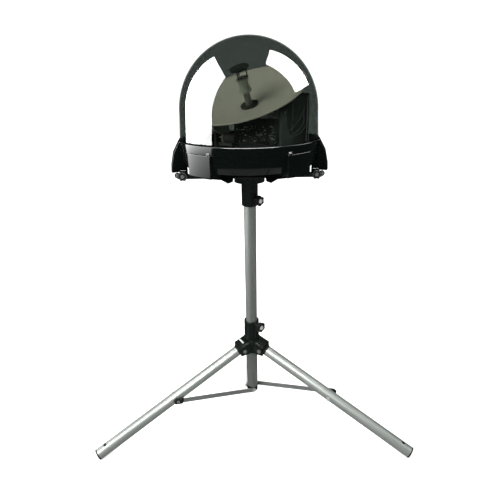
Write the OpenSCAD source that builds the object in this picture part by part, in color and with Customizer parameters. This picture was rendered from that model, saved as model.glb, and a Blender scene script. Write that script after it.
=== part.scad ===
// Smoked-dome satellite antenna on a folding aluminium tripod.
// The origin is on the mast's axis at floor level, +Z is up and -Y is the front.

/* [Mast] */
// Outside diameter of the mast tube
mast_d = 35; // [29:1:42]
// Wall of the mast tube
mast_wall = 1.6; // [1.2:0.1:2.5]
// Height of the mast tube's lower end above the floor
mast_low = 46; // [44:1:60]
// Height of the mounting plate's top face above the floor
plate_top = 766; // [640:1:920]

/* [Tripod] */
// Outside diameter of a leg tube
leg_d = 32; // [26:1:34]
// Wall of a leg tube
leg_wall = 1.6; // [1.2:0.1:2.5]
// Length of a leg from its hub pivot to its tip
leg_l = 508; // [420:1:610]
// Slope of an open leg below the horizontal
leg_slope = 22; // [18:1:27]
// Distance along a leg from its hub pivot to its brace
brace_at = 248; // [200:1:300]
// Width of a brace bar
brace_w = 14; // [12:1:18]
// Thickness of a brace bar
brace_t = 3; // [2:0.5:4]
// Height of the brace pivots at the foot of the mast
foot_pivot_z = 37.5; // [34:0.5:42]
// Diameter of the stake hole in each leg tip
stake_d = 9; // [6:0.5:12]

/* [Hub] */
// Distance of the leg pivots from the mast axis
hub_pivot_r = 39.5; // [38:0.5:48]
// Wall of the hub's clamp collar, bush included
collar_wall = 5.5; // [4.5:0.5:7]
// Height of the hub's clamp collar above its arms
collar_l = 66; // [50:1:90]
// Diameter of the leg pivot bolts
hub_bolt_d = 8; // [6:0.5:10]

/* [Head mount] */
// Wall of the clamp sleeve on the mast's top
sleeve_wall = 5.5; // [4:0.5:7]
// Length of the clamp sleeve below its flange
sleeve_l = 69; // [50:1:90]
// Diameter of the flange under the plate
flange_d = 84; // [80:1:100]
// Thickness of the flange
flange_t = 23; // [16:1:30]
// Thickness of the mounting plate
plate_t = 3; // [2:0.5:5]
// Half width of the mounting plate
plate_half_w = 160; // [150:1:166]
// Diameter of the thumb screws' shanks
screw_d = 8; // [6:0.5:10]

/* [Base] */
// Height of the base's lobes above the mounting plate
lobe_rise = 15; // [12:1:20]
// Outside radius of the base tray's rim
tray_r = 183; // [180:1:190]
// Height of the tray from the lobes' undersides to its rim
tray_h = 55; // [50:1:66]
// Wall of the tray
tray_wall = 4; // [3:0.5:5]
// Outside radius of the lobes
lobe_r = 189.5; // [186:0.5:196]
// Outside radius of the side ears at their lower edge
ear_r = 210; // [204:1:216]
// Height of the ring between the tray and the dome
ring_h = 20; // [14:1:26]

/* [Dome] */
// Outside radius of the dome's spherical top
dome_r = 178.5; // [177:0.5:182]
// Wall of the dome
dome_wall = 2.5; // [2:0.5:3.5]
// Height of the sphere's centre above the dome's lower edge
dome_skirt = 65; // [60:1:75]

/* [Dish] */
// Radius of the dish's rim
dish_r = 155; // [129:1:155]
// Depth of the dish
dish_depth = 33; // [26:1:40]
// Thickness of the dish
dish_t = 1.5; // [1:0.1:2]
// Distance of the rim's plane in front of the elevation axis
rim_ahead = 44; // [38:0.5:44]
// Distance of the dish's centre above the elevation axis, in the rim's plane
rim_above = 11; // [8:0.5:13]
// Elevation of the dish at rest
elevation = 65; // [50:1:66]
// Azimuth of the dish at rest, to the left of the front
azimuth = 36; // [0:1:60]
// Distance between the yoke arms' inner faces
yoke_gap = 204; // [190:1:214]
// Distance of the subreflector in front of the dish's vertex
feed_l = 100; // [80:1:110]
// Diameter of the feed tube
feed_d = 17; // [14:1:22]

/* [Gears] */
// Module of the azimuth gears
az_module = 2; // [1.5:0.5:2]
// Teeth of the azimuth ring gear
az_teeth = 60; // [50:1:66]
// Teeth of the azimuth pinion
az_pinion_teeth = 12; // [11:1:14]
// Module of the elevation gears
el_module = 1.5; // [1.5:0.5:2]
// Teeth of a full circle of the elevation sector
el_teeth = 80; // [70:1:84]
// Teeth of the elevation pinion
el_pinion_teeth = 14; // [12:1:16]

/* [Hidden] */
$fn = 72;

eps = 0.01;
running = 0.05;
face_gap = 0.3;
leg_angles = [210, 330, 90];
mast_r = mast_d / 2;
collar_d = mast_d + 2 * collar_wall;
sleeve_d = mast_d + 2 * sleeve_wall;
leg_r = leg_d / 2;

// Hub: the leg slot is as wide as a leg, and the arms carry a wall on each side.
pivot_z = leg_r * cos(leg_slope) + leg_l * sin(leg_slope);
bolt_r = hub_bolt_d / 2;
tang_half = leg_r + 0.9;
slot_half = tang_half + face_gap;
arm_half = slot_half + 5.8;
arm_end = hub_pivot_r + 11;
bush_t = 1.5;
bush_r = mast_r + running + bush_t;
hub_low = pivot_z - 15;
hub_shoulder = pivot_z + 26;
hub_edge = pivot_z + 15;
hub_top = hub_shoulder + collar_l;
hub_screw_z = hub_top - 9.5;
roof_z = pivot_z + 12.4;
valley_r = 14;
barrel_r = 12;
tube_start = 17.5;
hub_bolt_head = 3.5;

// Braces run beside the legs, just clear of the mast and of the tubes.
side_gap = 1.2;
brace_y = max(mast_r, leg_r) + side_gap;
foot_pivot_r = 5;
brace_pin_r = 3;
leg_point = [hub_pivot_r + brace_at * cos(leg_slope), pivot_z - brace_at * sin(leg_slope)];
brace_run = leg_point[0] - foot_pivot_r;
brace_climb = leg_point[1] - foot_pivot_z;
brace_l = norm([brace_run, brace_climb]);
brace_rise = atan2(brace_climb, brace_run);
foot_h_low = 9.5;

// Head mount, measured down from the plate's top face.
plate_low = plate_top - plate_t;
flange_low = plate_low - flange_t;
sleeve_low = flange_low - sleeve_l;
sleeve_screw_z = sleeve_low + 20;
sleeve_bore = mast_r + running;
mast_top = plate_low - 6;
screw_r = screw_d / 2;
knob_az = -48;
flange_bolt_pcd = 72;
flange_bolt_r = 3;

// Base, measured up from the plate's top face.
lobe_low = plate_top + lobe_rise;
tray_low = lobe_low + 9;
floor_z = tray_low + 3;
tray_top = lobe_low + tray_h;
ring_top = tray_top + ring_h;
ring_wall = 5;
ring_r = tray_r + 1.5;
gasket_t = 1.5;
dome_low = ring_top + gasket_t;
dome_z = dome_low + dome_skirt;
dome_draft = 3.5;
flange_rim_t = 2.6;
skirt_r = dome_r + dome_draft;
lobe_span = 23;
lobe_at = 40;
ear_span = 36;
screw_at = 31;
ring_screw_r = 2.5;
inlet_r = 4.76;
inlet_z = tray_top - 19;
ring_screw_at = tray_r + 2;
tab_y = -66;
tab_t = 3;
tab_in = 40;
tab_rise = 4;
foot_x = 120;
foot_y = 35;
foot_r = 13;
foot_plug_r = 4;
side_knob_x = 171;
side_bolt_x = 186;
side_knob_z = plate_top + 6.5;

// Turntable stack, measured up from the tray's floor.
bearing_h = 6;
gear_h = 5;
table_z = floor_z + bearing_h;
table_t = 3;
table_top = table_z + table_t;
table_r = 128;
az_ring_r = az_module * az_teeth / 2;
az_pinion_r = az_module * az_pinion_teeth / 2;
az_centres = az_ring_r + az_pinion_r;
motor_r = 15;
motor_shaft_r = 2.5;

// Yoke and dish, in a frame whose X points along the dish's azimuth.
axis_z = dome_z;
arm_t = 8;
yoke_half = yoke_gap / 2;
stub_r = 5;
el_ring_r = el_module * el_teeth / 2;
el_pinion_r = el_module * el_pinion_teeth / 2;
el_centres = el_ring_r + el_pinion_r;
sector_y = -yoke_half + 14;
sector_t = 5;
sector_fore = 53;
sector_aft = 25;
dish_ball_r = (dish_r * dish_r + dish_depth * dish_depth) / (2 * dish_depth);
vertex = rim_ahead - dish_depth;
bead_r = 2;
bracket_half = yoke_half - 4;
feed_r = feed_d / 2;
post_y = 58;
feed_plate_r = 24;
plate_seat = dish_ball_r - sqrt(dish_ball_r * dish_ball_r - feed_plate_r * feed_plate_r) + 0.05;
hub_disc_l = 15;
az_step = 360 / az_teeth;
el_step = 360 / el_teeth;
az_phase = ((90 - azimuth) % az_step) * az_teeth / az_pinion_teeth - 180 / az_pinion_teeth;
el_phase = (90 % el_step) * el_teeth / el_pinion_teeth - 180 / el_pinion_teeth;

module at_leg(i) rotate([0, 0, leg_angles[i]]) children();
module on_leg(i) at_leg(i) translate([hub_pivot_r, 0, pivot_z]) rotate([0, leg_slope, 0]) children();
module on_brace(i) at_leg(i) translate([foot_pivot_r, 0, foot_pivot_z]) rotate([0, -brace_rise, 0])
    children();
module along_y(y) translate([0, y, 0]) rotate([-90, 0, 0]) children();
module radial(angle, z) rotate([0, 0, angle]) translate([0, 0, z]) rotate([0, 90, 0]) children();
module on_table() rotate([0, 0, -90 - azimuth]) children();
module on_axis() on_table() translate([0, 0, axis_z]) children();
// Local X is the dish's boresight and local Z points up its face.
module on_dish() on_axis() rotate([0, -elevation, 0]) children();

module ring(outer, inner, h) difference() {
    cylinder(r = outer, h = h);
    translate([0, 0, -1]) cylinder(r = inner, h = h + 2);
}

// Spur gear with straight flanks and backlash, as a 2-D outline.
module gear_outline(m, teeth, bore) {
    step = 360 / teeth;
    root = m * (teeth / 2 - 1.15);
    tip = m * (teeth / 2 + 0.8);
    difference() {
        polygon([for (i = [0 : teeth - 1])
            for (p = [[root, -0.31], [tip, -0.13], [tip, 0.13], [root, 0.31]])
                p[0] * [cos((i + p[1]) * step), sin((i + p[1]) * step)]]);
        circle(r = bore);
    }
}

// Lobed hand knob, from z = 0 to z = h.
module lobed_knob(r, h, bore) difference() {
    union() {
        cylinder(r = r - 3, h = h);
        for (i = [0 : 5]) rotate([0, 0, 60 * i]) translate([r - 4.5, 0, 0]) cylinder(r = 4.5, h = h - 1);
        translate([0, 0, -3]) cylinder(r = bore + 3.5, h = 3 + eps);
    }
    translate([0, 0, -4]) cylinder(r = bore, h = h + 8);
}

// --- Mast ---------------------------------------------------------------
module mast_tube() color("silver")
    translate([0, 0, mast_low]) ring(mast_r, mast_r - mast_wall, mast_top - mast_low);

module mast_foot() color("dimgray") difference() {
    union() {
        translate([0, 0, foot_pivot_z - foot_h_low])
            cylinder(r = mast_r, h = mast_low - foot_pivot_z + foot_h_low);
        translate([0, 0, mast_low - eps]) cylinder(r = mast_r - mast_wall, h = 24);
        for (i = [0 : 2]) at_leg(i) translate([foot_pivot_r, 0, foot_pivot_z])
            along_y(8) cylinder(r = 8, h = brace_y - 8.2);
    }
    for (i = [0 : 2]) at_leg(i) translate([foot_pivot_r, 0, foot_pivot_z])
        along_y(9) cylinder(r = brace_pin_r, h = 20);
    translate([0, 0, mast_low + 6]) cylinder(r = mast_r - mast_wall - 4, h = 24);
}

module brace_bolts() color("gainsboro") for (i = [0 : 2]) at_leg(i)
    translate([foot_pivot_r, 0, foot_pivot_z]) {
        along_y(9) cylinder(r = brace_pin_r, h = brace_y + brace_t - 8.5);
        along_y(brace_y + brace_t + 0.3) cylinder(r = 5.5, h = 2.5);
    }

// --- Hub ----------------------------------------------------------------
module hub_plan() {
    d = (arm_half + valley_r) / sin(60);
    for (a = leg_angles) rotate(a) translate([0, -arm_half]) square([arm_end, 2 * arm_half]);
    for (a = leg_angles) rotate(a + 60) difference() {
        polygon([[0, 0], d * cos(60) * [cos(60), -sin(60)] + arm_half * [sin(60), cos(60)],
            d * cos(60) * [cos(60), sin(60)] + arm_half * [sin(60), -cos(60)]]);
        translate([d, 0]) circle(r = valley_r);
    }
}

module hub_body() color("#26282a") difference() {
    union() {
        intersection() {
            translate([0, 0, hub_low]) linear_extrude(hub_shoulder - hub_low + 1) hub_plan();
            rotate_extrude() polygon([[0, hub_low], [arm_end + 8, hub_low], [arm_end + 8, hub_edge - 3],
                [arm_end, hub_edge], [collar_d / 2 + 4, hub_shoulder], [0, hub_shoulder]]);
        }
        translate([0, 0, hub_low]) cylinder(r = collar_d / 2, h = hub_top - hub_low);
        radial(knob_az, hub_screw_z) cylinder(r = screw_r + 4.5, h = collar_d / 2 + 7);
    }
    translate([0, 0, hub_low - 1]) cylinder(r = bush_r, h = hub_top - hub_low + 2);
    radial(knob_az, hub_screw_z) cylinder(r = screw_r + running, h = collar_d);
    for (i = [0 : 2]) at_leg(i) {
        translate([collar_d / 2 - 0.3, -slot_half, hub_low - 1])
            cube([arm_end, 2 * slot_half, roof_z - hub_low + 1]);
        translate([hub_pivot_r, 0, pivot_z]) along_y(-arm_half - 1)
            cylinder(r = bolt_r, h = 2 * arm_half + 2);
    }
}

module hub_bush() color("#1e2022") difference() {
    translate([0, 0, hub_low]) ring(bush_r, mast_r + running, hub_top - hub_low);
    radial(knob_az, hub_screw_z) cylinder(r = screw_r + running, h = collar_d);
}

module hub_bolts() color("silver") for (i = [0 : 2]) at_leg(i) translate([hub_pivot_r, 0, pivot_z]) {
    along_y(-arm_half) cylinder(r = bolt_r, h = 2 * arm_half);
    for (s = [-1, 1]) translate([0, s * (arm_half + hub_bolt_head / 2), 0]) rotate([90, 0, 0])
        cylinder(r = bolt_r + 2.5, h = hub_bolt_head, center = true, $fn = s > 0 ? 6 : 48);
}

// A thumb screw whose tip stands just off the mast, with its nut-shaped shoulder and end cap.
module mast_screw(seat) {
    translate([0, 0, mast_r + running]) cylinder(r = screw_r, h = seat + 13 - mast_r);
    translate([0, 0, seat + 1]) cylinder(r = screw_r + 3, h = 3.5, $fn = 6);
    translate([0, 0, seat + 13]) cylinder(r = screw_r + 1, h = 3);
}

hub_seat = collar_d / 2 + 7;
sleeve_seat = sleeve_d / 2 + 5;
module hub_screw() color("gainsboro") radial(knob_az, hub_screw_z) mast_screw(hub_seat);
module hub_knob() color("#1c1c1e") radial(knob_az, hub_screw_z)
    translate([0, 0, hub_seat + 7.5]) difference() {
        lobed_knob(17, 8.5, screw_r);
        translate([0, 0, 5.5]) cylinder(r = screw_r + 1, h = 8);
    }

// --- Legs ---------------------------------------------------------------
module leg_tube(i) color("silver") on_leg(i) difference() {
    translate([tube_start, 0, 0]) rotate([0, 90, 0]) ring(leg_r, leg_r - leg_wall, leg_l - 4 - tube_start);
    translate([brace_at, 0, 0]) along_y(-leg_d) cylinder(r = brace_pin_r, h = 2 * leg_d);
    translate([leg_l - 30, 0, -leg_d]) cylinder(d = stake_d, h = 2 * leg_d);
}

module leg_top(i) color("#202224") on_leg(i) difference() {
    union() {
        along_y(-tang_half) cylinder(r = barrel_r, h = 2 * tang_half);
        translate([0, -tang_half + 1, -10]) cube([tube_start - 3, 2 * tang_half - 2, 20]);
        translate([tube_start - 3.5, 0, 0]) rotate([0, 90, 0]) cylinder(r = leg_r, h = 3.5);
        translate([tube_start - eps, 0, 0]) rotate([0, 90, 0]) cylinder(r = leg_r - leg_wall, h = 34);
    }
    along_y(-leg_d) cylinder(r = bolt_r + running, h = 2 * leg_d);
    translate([tube_start + 8, 0, 0]) rotate([0, 90, 0]) cylinder(r = leg_r - leg_wall - 4, h = 40);
}

module leg_tip(i) color("#202224") on_leg(i) difference() {
    union() {
        translate([leg_l - 50, 0, 0]) rotate([0, 90, 0]) cylinder(r = leg_r - leg_wall, h = 50 - 4 + eps);
        translate([leg_l - 4, 0, 0]) rotate([0, 90, 0]) cylinder(r = leg_r, h = 4);
    }
    translate([leg_l - 30, 0, -leg_d]) cylinder(d = stake_d, h = 2 * leg_d);
}

module leg_bolt(i) color("gainsboro") on_leg(i) translate([brace_at, 0, 0]) {
    along_y(-leg_r - 1) cylinder(r = brace_pin_r, h = leg_d + 0.8);
    along_y(-leg_r - 3.5) cylinder(r = 6, h = 3.3);
}

// --- Braces -------------------------------------------------------------
module brace(i) color("gainsboro") on_brace(i) {
    difference() {
        translate([0, brace_y, 0]) {
            translate([0, 0, -brace_w / 2]) cube([brace_l, brace_t, brace_w]);
            for (x = [0, brace_l]) translate([x, 0, 0]) along_y(0) cylinder(r = brace_w / 2, h = brace_t);
        }
        along_y(0) cylinder(r = brace_pin_r + running, h = brace_y + 2 * brace_t);
    }
    translate([brace_l, 0, 0]) along_y(brace_y + brace_t + 2.4) cylinder(r = 4.5, h = 2);
}

module brace_end(i) color("#202224") on_brace(i) difference() {
    translate([brace_l, leg_r + face_gap, 0]) {
        translate([-17, 0, -9]) cube([20, brace_y + brace_t + 2.4 - leg_r - face_gap, 18]);
        translate([3, 0, 0]) along_y(0) cylinder(r = 9, h = brace_y + brace_t + 2.4 - leg_r - face_gap);
    }
    translate([brace_l - 40, brace_y, -brace_w / 2]) cube([40, brace_t, brace_w]);
    translate([brace_l, 0, 0]) along_y(brace_y) cylinder(r = brace_w / 2, h = brace_t);
}

// --- Head mount -----------------------------------------------------------
module mount_sleeve() color("#1e2022") difference() {
    union() {
        translate([0, 0, flange_low]) cylinder(d = flange_d, h = flange_t);
        translate([0, 0, sleeve_low + 2]) cylinder(d = sleeve_d, h = sleeve_l);
        translate([0, 0, sleeve_low]) cylinder(r1 = sleeve_d / 2 - 2, r2 = sleeve_d / 2, h = 2 + eps);
        radial(knob_az, sleeve_screw_z) cylinder(r = screw_r + 4, h = sleeve_d / 2 + 5);
    }
    translate([0, 0, sleeve_low - 1]) cylinder(r = sleeve_bore, h = mast_top - sleeve_low + 1 + face_gap);
    radial(knob_az, sleeve_screw_z) cylinder(r = screw_r + running, h = sleeve_d);
    for (a = [45 : 90 : 315]) rotate([0, 0, a]) translate([flange_bolt_pcd / 2, 0, 0]) {
        translate([0, 0, flange_low - 1]) cylinder(r = flange_bolt_r, h = flange_t + 2);
        translate([0, 0, flange_low - 1]) cylinder(r = 5.8, h = flange_t - 7);
    }
}

module sleeve_screw() color("gainsboro") radial(knob_az, sleeve_screw_z) mast_screw(sleeve_seat);
module sleeve_knob() color("#1c1c1e") radial(knob_az, sleeve_screw_z)
    translate([0, 0, sleeve_seat + 7.5]) difference() {
        lobed_knob(15, 8.5, screw_r);
        translate([0, 0, 5.5]) cylinder(r = screw_r + 1, h = 8);
    }

module flange_bolts() color("silver") for (a = [45 : 90 : 315]) rotate([0, 0, a])
    translate([flange_bolt_pcd / 2, 0, 0]) {
        translate([0, 0, plate_low - 9]) cylinder(r = flange_bolt_r, h = plate_t + 16);
        translate([0, 0, plate_low - 11.5]) cylinder(r = 5.3, h = 3.5, $fn = 6);
        translate([0, 0, plate_top]) cylinder(r = 6, h = 5, $fn = 6);
    }

// Plate with a pointed bow at its back and two points at its front, and a tab at each side.
module mount_plate() color("#242628") {
    w = plate_half_w;
    tab_front = tab_y - tab_t;
    difference() {
        union() {
            translate([0, 0, plate_low]) linear_extrude(plate_t) polygon([
                [w, 50], [0.45 * w, 88], [0.33 * w, 130], [-0.33 * w, 130], [-0.45 * w, 88], [-w, 50],
                [-w, tab_front], [tab_in - w, tab_front], [-0.45 * w, -88], [-0.33 * w, -130],
                [-0.26 * w, -110], [-0.26 * w, -72], [0.26 * w, -72], [0.26 * w, -110],
                [0.33 * w, -130], [0.45 * w, -88], [w - tab_in, tab_front], [w, tab_front]]);
            for (s = [-1, 1]) {
                translate([s > 0 ? w - tab_in : -side_bolt_x, tab_front, plate_low])
                    cube([side_bolt_x - w + tab_in, tab_t, side_knob_z + tab_rise - plate_low]);
                for (x = [side_knob_x, side_bolt_x]) translate([s * x, tab_y, side_knob_z])
                    rotate([90, 0, 0]) cylinder(r = 7.5, h = tab_t);
            }
        }
        for (a = [45 : 90 : 315]) rotate([0, 0, a]) translate([flange_bolt_pcd / 2, 0, plate_low - 1])
            cylinder(r = flange_bolt_r, h = plate_t + 2);
        for (s = [-1, 1]) for (x = [side_knob_x, side_bolt_x]) translate([s * x, 0, side_knob_z])
            rotate([90, 0, 0]) cylinder(r = screw_r - 1 + running, h = 100);
    }
}

// Thumb screws that hold the antenna's base down to the plate's two front tabs.
module side_screw(s) color("gainsboro") translate([s * side_knob_x, 0, side_knob_z]) rotate([90, 0, 0]) {
    translate([0, 0, -tab_y - 20]) cylinder(r = screw_r - 1, h = 20 + tab_t + 14);
    translate([0, 0, -tab_y + tab_t + 0.3]) cylinder(r = screw_r + 1.5, h = 2, $fn = 6);
    translate([0, 0, -tab_y + tab_t + 14]) cylinder(r = screw_r, h = 2.5);
}
module side_knob(s) color("#1c1c1e") translate([s * side_knob_x, 0, side_knob_z]) rotate([90, 0, 0])
    translate([0, 0, -tab_y + tab_t + 5.5]) lobed_knob(12.5, 8.5, screw_r - 1);

module clamp_bolts() color("silver") for (s = [-1, 1])
    translate([s * side_bolt_x, 0, side_knob_z]) rotate([90, 0, 0]) {
        translate([0, 0, -tab_y - 4]) cylinder(r = screw_r - 1 + running, h = 4 + tab_t + 3);
        translate([0, 0, -tab_y + tab_t]) cylinder(r = 5, h = 5.5, $fn = 6);
        translate([0, 0, -tab_y - 4]) cylinder(r = 5.5, h = 4, $fn = 6);
    }

// --- Base -----------------------------------------------------------------
module tray_profile() difference() {
    polygon([[0, tray_low], [tray_r - 15, tray_low], [tray_r - 1, tray_low + 18], [tray_r, tray_top],
        [0, tray_top]]);
    polygon([[-1, floor_z], [tray_r - 15 - tray_wall / 2, floor_z], [tray_r - 1 - tray_wall, tray_low + 20],
        [tray_r - tray_wall, tray_top + 1], [-1, tray_top + 1]]);
}

module sector(from, span, profile) rotate([0, 0, from - span / 2])
    rotate_extrude(angle = span) polygon(profile);
module on_screws() for (a = [screw_at, -screw_at, 180 - screw_at, 180 + screw_at]) rotate([0, 0, -90 + a])
    translate([ring_screw_at, 0, 0]) children();
module on_feet() for (x = [-foot_x, foot_x]) for (y = [-foot_y, foot_y]) translate([x, y, 0]) children();

module base_tray() color("#0e0f10") difference() {
    union() {
        rotate_extrude() tray_profile();
        for (a = [lobe_at, -lobe_at, 180 - lobe_at, 180 + lobe_at])
            sector(-90 + a, lobe_span, [[tray_r - 36, lobe_low], [lobe_r - 2, lobe_low],
                [lobe_r, lobe_low + 3], [lobe_r, tray_top], [tray_r - 1, tray_top],
                [tray_r - 2, tray_low + 18], [tray_r - 17, tray_low + 1], [tray_r - 36, tray_low + 1]]);
        for (s = [0, 180]) sector(s, ear_span, [[tray_r - 2, tray_low + 20], [tray_r - 14, tray_low + 4],
            [tray_r - 14, lobe_low - 1], [ear_r, lobe_low - 2], [ear_r - 1, lobe_low + 15],
            [ear_r - 8, lobe_low + 47], [ring_r + 2, ring_top], [ring_r + 0.2, ring_top],
            [ring_r + 0.2, tray_top], [tray_r - 2, tray_top]]);
        for (s = [-1, 1]) translate([s * side_knob_x - 8, tab_y + 4, plate_top + 0.5])
            cube([16, 26, lobe_low + 3 - plate_top]);
    }
    on_screws() translate([0, 0, tray_top - 14]) cylinder(r = ring_screw_r, h = 20);
    for (s = [-1, 1]) translate([s * side_knob_x, 0, side_knob_z]) rotate([90, 0, 0])
        cylinder(r = screw_r - 1 + running, h = 100);
    on_feet() translate([0, 0, tray_low - 1]) cylinder(r = foot_plug_r, h = floor_z - tray_low + 2);
    rotate([0, 0, 90]) translate([tray_r - 30, 0, inlet_z]) rotate([0, 90, 0]) cylinder(r = inlet_r, h = 60);
}

// Feet that stand on the mounting plate, each with a plug pushed into the tray's floor.
module rubber_feet() color("#111111") on_feet() {
    translate([0, 0, plate_top]) cylinder(r = foot_r, h = tray_low - plate_top);
    translate([0, 0, tray_low - eps]) cylinder(r = foot_plug_r, h = floor_z - tray_low);
}

module base_ring() color("#0a0a0b") difference() {
    union() {
        translate([0, 0, tray_top]) ring(ring_r, ring_r - ring_wall, ring_h);
        on_screws() translate([0, 0, tray_top]) cylinder(r = 5, h = 3);
    }
    on_screws() translate([0, 0, tray_top - 1]) {
        cylinder(r = ring_screw_r, h = ring_h + 2);
        translate([0, 0, 4]) cylinder(r = 4.5, h = 4);
    }
}

module ring_screws() color("gainsboro") on_screws() {
    translate([0, 0, tray_top - 13]) cylinder(r = ring_screw_r, h = 16 + eps);
    translate([0, 0, tray_top + 3]) cylinder(r = 4, h = 2.8);
}

module dome_gasket() color("#151515") translate([0, 0, ring_top])
    ring(ring_r - 0.5, ring_r - ring_wall + 0.5, gasket_t);

// Solid of revolution with a spherical top and a drafted skirt.
module dome_form(top_r, low_r, low_z) {
    intersection() {
        translate([0, 0, dome_z]) sphere(r = top_r, $fn = 180);
        translate([0, 0, dome_z]) cylinder(r = top_r + 1, h = top_r + 1);
    }
    translate([0, 0, low_z]) cylinder(r1 = low_r, r2 = top_r, h = dome_z - low_z, $fn = 180);
}

module dome() color([0.25, 0.27, 0.27, 0.4]) difference() {
    union() {
        dome_form(dome_r, skirt_r, dome_low);
        translate([0, 0, dome_low]) cylinder(r = ring_r, h = flange_rim_t);
    }
    dome_form(dome_r - dome_wall, skirt_r - dome_wall, dome_low - 1);
}

module coax_inlet() color("#c9a24a") radial(90, inlet_z) difference() {
    union() {
        translate([0, 0, tray_r - 22]) cylinder(r = inlet_r, h = 37);
        translate([0, 0, tray_r + 0.5]) cylinder(r = 7, h = 3, $fn = 6);
        translate([0, 0, tray_r - tray_wall - 5]) cylinder(r = 7, h = 4, $fn = 6);
    }
    translate([0, 0, tray_r + 8]) cylinder(r = 1, h = 10);
}

// --- Turntable --------------------------------------------------------------
module azimuth_gear() color("#e8e4da") translate([0, 0, floor_z]) linear_extrude(gear_h)
    gear_outline(az_module, az_teeth, az_ring_r - 12);

module centre_bearing() color("silver") translate([0, 0, floor_z]) ring(30, 22, bearing_h - 0.2);

module turntable() color("#2b2d30") on_table() difference() {
    union() {
        translate([0, 0, table_z]) cylinder(r = table_r, h = table_t);
        translate([0, 0, floor_z + 0.3]) cylinder(r = 22 - running, h = bearing_h + 1);
    }
    translate([-az_centres, 0, table_z - 1]) cylinder(r = motor_shaft_r + 1.5, h = table_t + 2);
    for (a = [35, 145, 215, 325]) rotate([0, 0, a]) translate([88, 0, table_z - 1])
        cylinder(r = 16, h = table_t + 2);
    translate([0, 0, floor_z - 1]) cylinder(r = 12, h = 20);
}

module yoke_arms() color("#303336") on_table() for (s = [-1, 1]) translate([0, s * yoke_half, 0])
    difference() {
        union() {
            translate([0, s > 0 ? 0 : -arm_t, 0]) {
                translate([-45, 0, table_top]) cube([60, arm_t, 30]);
                translate([0, arm_t, axis_z]) rotate([90, 0, 0]) linear_extrude(arm_t) polygon([
                    [-45, table_top + 30 - axis_z - 1], [-45, table_top + 34 - axis_z], [-12, -30], [-12, 0],
                    [12, 0], [12, -30], [15, table_top + 34 - axis_z], [15, table_top + 30 - axis_z - 1]]);
                translate([0, arm_t, axis_z]) rotate([90, 0, 0]) cylinder(r = 12, h = arm_t);
            }
            translate([-45, s > 0 ? -14 : 0, table_top]) cube([60, 14, 3]);
        }
        translate([0, -20, axis_z]) rotate([-90, 0, 0]) cylinder(r = stub_r + running, h = 40);
        translate([0, -20, axis_z - el_centres]) rotate([-90, 0, 0])
            cylinder(r = motor_shaft_r + running, h = 40);
        for (x = [-35, 5]) translate([x, s > 0 ? -8 : 8, table_top - 1]) cylinder(r = 2.2, h = 6);
    }

module board_post(x, y) translate([x, y, table_top]) cylinder(r = 3, h = 6);

module control_board() color("#1d5c34") on_table() {
    translate([-50, -56, table_top + 6]) cube([76, 112, 1.6]);
    for (x = [-45, 21]) for (y = [-51, 51]) board_post(x, y);
}

module board_parts() color("#3c4043") on_table() translate([0, 0, table_top + 7.6]) {
    for (p = [[-40, -46, 16, 20, 10], [-16, -44, 12, 12, 6], [6, -48, 14, 18, 12], [-44, -16, 20, 26, 7],
        [-14, -22, 18, 18, 3], [10, -20, 10, 14, 9], [-42, 20, 14, 22, 12], [-20, 8, 22, 16, 5],
        [8, 4, 12, 20, 7], [-18, 34, 16, 14, 9], [8, 34, 14, 12, 5]])
        translate([p[0], p[1], 0]) cube([p[2], p[3], p[4]]);
    for (p = [[-4, -2, 10], [0, 28, 13], [-26, 50, 11], [-22, -28, 12], [2, -27, 9]])
        translate([p[0], p[1], 0]) cylinder(r = 3.2, h = p[2]);
}

module azimuth_motor() color("#55585b") on_table() translate([-az_centres, 0, 0]) {
    translate([0, 0, table_top]) cylinder(r = motor_r, h = 34);
    translate([0, 0, table_top + 34 - eps]) cylinder(r = 5, h = 3);
    for (s = [-1, 1]) translate([-4, s > 0 ? motor_r - 3 : -motor_r - 7, table_top]) cube([8, 10, 2.5]);
}

module azimuth_pinion() color("#e8e4da") on_table() translate([-az_centres, 0, 0]) {
    translate([0, 0, floor_z + 0.4]) linear_extrude(gear_h - 0.4)
        rotate(az_phase) gear_outline(az_module, az_pinion_teeth, 1);
    translate([0, 0, floor_z + gear_h - eps])
        cylinder(r = motor_shaft_r, h = bearing_h - gear_h + table_t - 0.3);
}

module elevation_motor() color("#55585b") on_axis() translate([0, sector_y + sector_t, -el_centres]) {
    along_y(2.5) cylinder(r = 13, h = 40);
    translate([-6, -sector_y - yoke_half - sector_t, -13 - 8])
        cube([12, yoke_half + sector_y + sector_t + 30, 8 - eps + 1]);
}

module elevation_pinion() color("#e8e4da") on_axis() translate([0, sector_y, -el_centres]) {
    along_y(0) linear_extrude(sector_t) rotate(270 + el_phase) gear_outline(el_module, el_pinion_teeth, 1);
    along_y(-yoke_half - sector_y - arm_t + 1)
        cylinder(r = motor_shaft_r, h = yoke_half + sector_y + arm_t + sector_t + 1.2);
}

// --- Dish --------------------------------------------------------------------
module dish_ball(r) translate([vertex + dish_ball_r, 0, rim_above]) sphere(r = r, $fn = 180);

module dish() color("#cfcabd") on_dish() {
    difference() {
        intersection() {
            dish_ball(dish_ball_r + dish_t);
            translate([vertex - 5, 0, rim_above]) rotate([0, 90, 0])
                cylinder(r = dish_r, h = rim_ahead - vertex + 5);
        }
        dish_ball(dish_ball_r);
        translate([vertex - 10, 0, rim_above]) rotate([0, 90, 0]) cylinder(r = feed_r - 2, h = 30);
    }
    translate([rim_ahead, 0, rim_above]) rotate([0, 90, 0])
        rotate_extrude() translate([dish_r, 0]) circle(r = bead_r, $fn = 24);
}

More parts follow.
